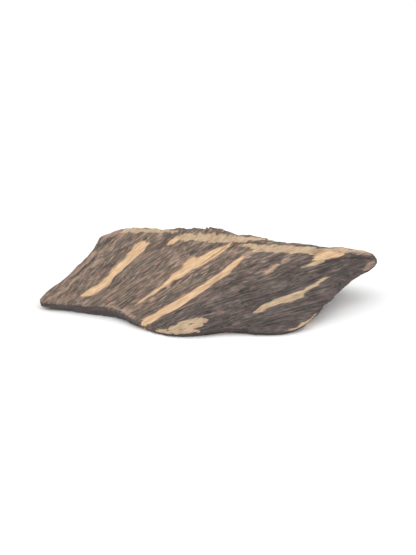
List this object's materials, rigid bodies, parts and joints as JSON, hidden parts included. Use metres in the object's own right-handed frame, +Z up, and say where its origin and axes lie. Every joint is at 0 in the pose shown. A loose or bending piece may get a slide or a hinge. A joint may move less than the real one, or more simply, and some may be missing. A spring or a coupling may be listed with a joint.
{
  "type": "agarwood piece",
  "caption": "Hewn chip of agarwood, wedge-shaped, with a thick torn back, thin front edge and pointed tips; dark resinous wood with pale streaks along the grain.",
  "frame": {"origin": "on the flat resting face, under the middle of the chip's outer box", "axes": "+X along the chip from its left tip to its right tip, +Y from the thin front edge to the thick back edge, +Z up from the resting face"},
  "size_m": [0.046, 0.0242, 0.0076],
  "materials": {
    "agarwood": "dry hewn wood, dark resin with pale streaks, slightly waxy"
  },
  "bodies": {
    "root": {"agarwood_chip": "agarwood"}
  },
  "joints": []
}
